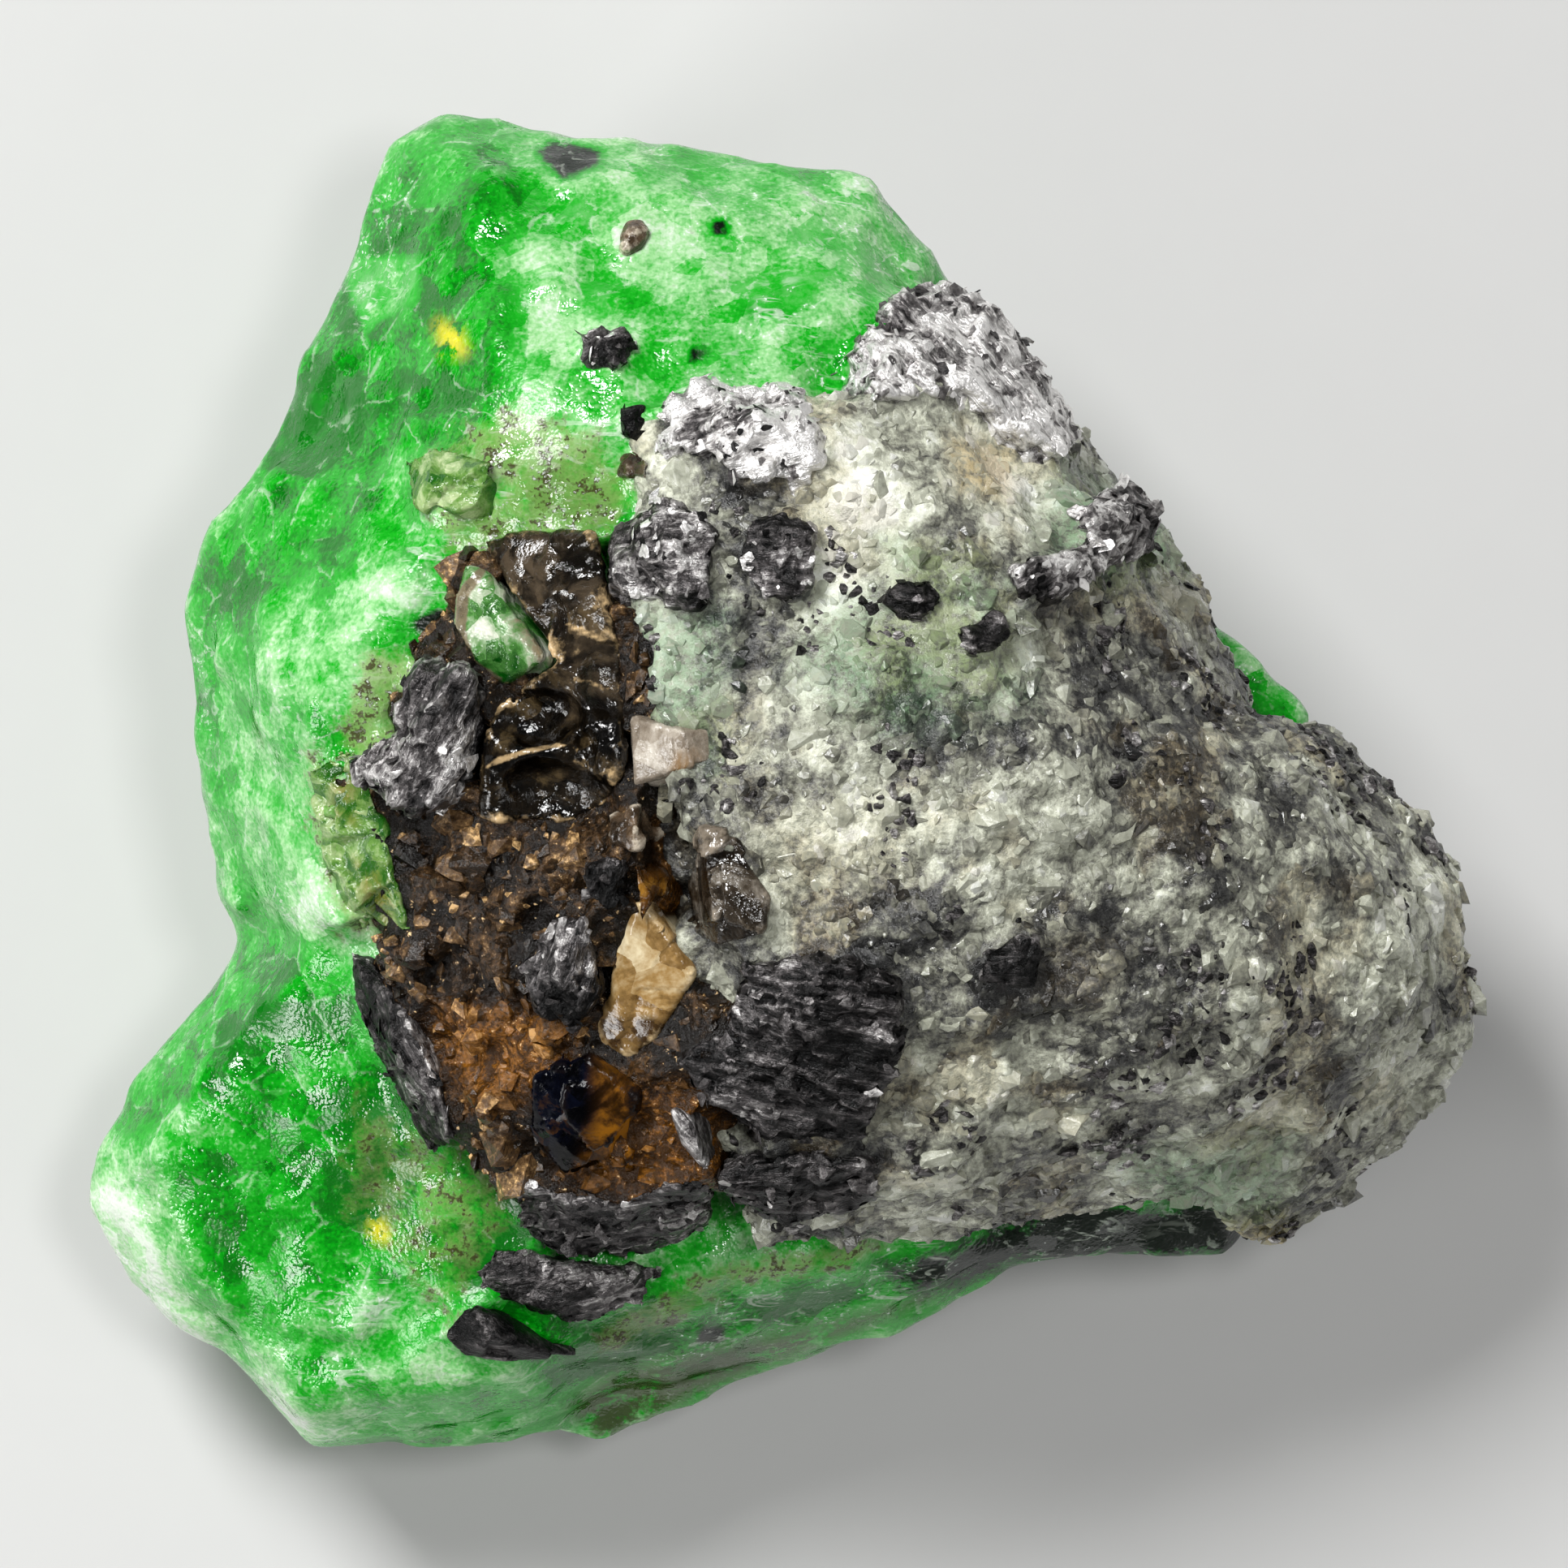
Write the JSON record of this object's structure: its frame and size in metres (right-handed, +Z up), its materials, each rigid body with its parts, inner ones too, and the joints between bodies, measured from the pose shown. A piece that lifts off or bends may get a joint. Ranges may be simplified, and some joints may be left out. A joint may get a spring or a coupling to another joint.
{
  "type": "tsavorite in matrix mineral specimen",
  "caption": "Natural mineral specimen: intergrown green tsavorite garnet crystals in graphite gneiss with an iron-stained quartz crust, lying on a flat broken base.",
  "frame": {"origin": "centre of the bounding box in plan, on the flat broken underside that the specimen lies on", "axes": "+X from the garnet towards the gneiss nose, the longest side; +Y towards the tip of the larger garnet crystal; +Z up, away from the resting face"},
  "size_m": [0.028, 0.027, 0.0155],
  "materials": {
    "tsavorite": "deep green grossular garnet, glassy, translucent, clouded by pale veils and fractures",
    "gneiss": "granular grey gneiss of quartz and feldspar with greenish zones and black specks",
    "crust": "dark brown iron-stained rock with orange and golden glints",
    "graphite": "black graphite with a grey metallic sheen and fine striations",
    "golden_quartz": "clear quartz stained honey gold, glassy",
    "smoky_quartz": "smoky brown quartz, glassy, with curved fracture ledges",
    "clear_quartz": "colourless quartz with a green cast from the garnet below",
    "orange_quartz": "orange iron-stained quartz",
    "brown_quartz": "cloudy brown quartz",
    "feldspar": "cloudy pinkish cream feldspar",
    "dark_crystal": "blue-black tarnished crystal, glassy",
    "pale_garnet": "pale yellow-green garnet, cloudy"
  },
  "bodies": {
    "root": {"graphite_plate_top": "graphite", "graphite_foil_centre": "graphite", "graphite_lump_centre": "graphite", "graphite_lump_inner": "graphite", "graphite_flake_upper": "graphite", "graphite_flake_corner": "graphite", "graphite_chunk_left": "graphite", "graphite_streak_right": "graphite", "graphite_grain_upper": "graphite", "graphite_grain_middle": "graphite", "graphite_grain_lower": "graphite", "graphite_rim_left": "graphite", "graphite_lump_middle": "graphite", "graphite_seam_middle": "graphite", "graphite_mass_lower": "graphite", "graphite_blade_lower": "graphite", "graphite_sheet_right": "graphite", "graphite_sheet_lower": "graphite", "graphite_lobe_lower": "graphite", "graphite_tip_lower": "graphite", "golden_quartz_crystal": "golden_quartz", "smoky_quartz_shell": "smoky_quartz", "clear_quartz_window": "clear_quartz", "smoky_quartz_grain": "smoky_quartz", "orange_quartz_grain": "orange_quartz", "brown_quartz_grain": "brown_quartz", "brown_grain_upper": "brown_quartz", "brown_grain_middle": "brown_quartz", "feldspar_grain": "feldspar", "stained_dark_crystal": "dark_crystal", "pale_garnet_grain": "pale_garnet", "pale_garnet_rim": "pale_garnet", "tsavorite": "tsavorite", "gneiss_matrix": "gneiss", "iron_stained_crust": "crust"}
  },
  "joints": []
}
